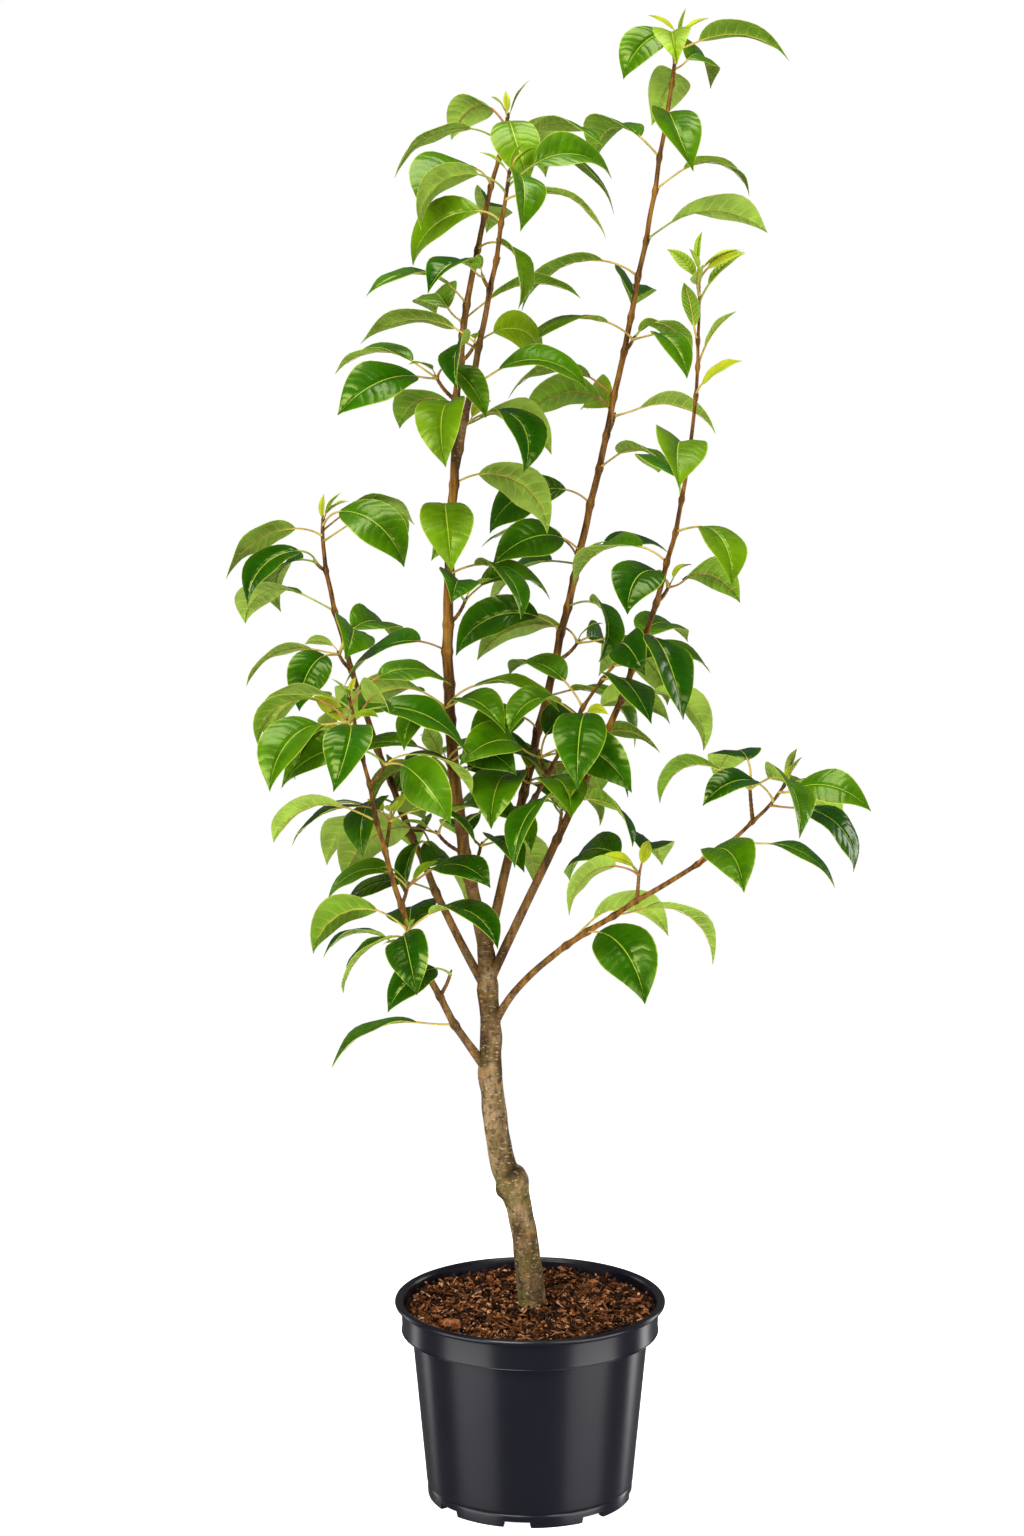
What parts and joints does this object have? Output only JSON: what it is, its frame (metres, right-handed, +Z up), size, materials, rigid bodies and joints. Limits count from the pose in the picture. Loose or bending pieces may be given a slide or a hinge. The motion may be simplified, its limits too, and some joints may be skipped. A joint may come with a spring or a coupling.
{
  "type": "potted pear tree",
  "caption": "Young comice pear tree with upright leafy boughs on one leaning trunk, growing in a black plastic nursery pot filled with bark compost.",
  "frame": {"origin": "centre of the pot's flat underside, on the ground", "axes": "+Z up along the pot's axis, -Y towards the viewer of the picture, +X to the viewer's right"},
  "size_m": [0.6445, 0.503, 1.5223],
  "materials": {
    "pot": "satin black moulded plastic",
    "compost": "loose reddish-brown bark chips",
    "trunk_bark": "dull olive-tan bark with pale pores",
    "bough_bark": "smooth reddish-brown young bark",
    "foliage": "glossy mid-green leaves on brown twigs"
  },
  "bodies": {
    "root": {"pot": "pot", "compost": "compost", "trunk": "trunk_bark", "bough_low_left": "bough_bark", "bough_mid_left": "bough_bark", "bough_leader": "bough_bark", "bough_tall": "bough_bark", "bough_right": "bough_bark", "bough_low_right": "bough_bark", "foliage_low_left_1": "foliage", "foliage_low_left_2": "foliage", "foliage_mid_left_1": "foliage", "foliage_mid_left_2": "foliage", "foliage_mid_left_3": "foliage", "foliage_low_right_1": "foliage", "foliage_low_right_2": "foliage", "foliage_leader_1": "foliage", "foliage_leader_2": "foliage", "foliage_leader_3": "foliage", "foliage_leader_left_1": "foliage", "foliage_leader_left_2": "foliage", "foliage_leader_right_1": "foliage", "foliage_leader_right_2": "foliage", "foliage_tall_1": "foliage", "foliage_tall_2": "foliage", "foliage_tall_3": "foliage", "foliage_tall_4": "foliage", "foliage_tall_5": "foliage", "foliage_front": "foliage", "foliage_right_1": "foliage", "foliage_right_2": "foliage", "foliage_right_3": "foliage", "foliage_right_4": "foliage"}
  },
  "joints": []
}
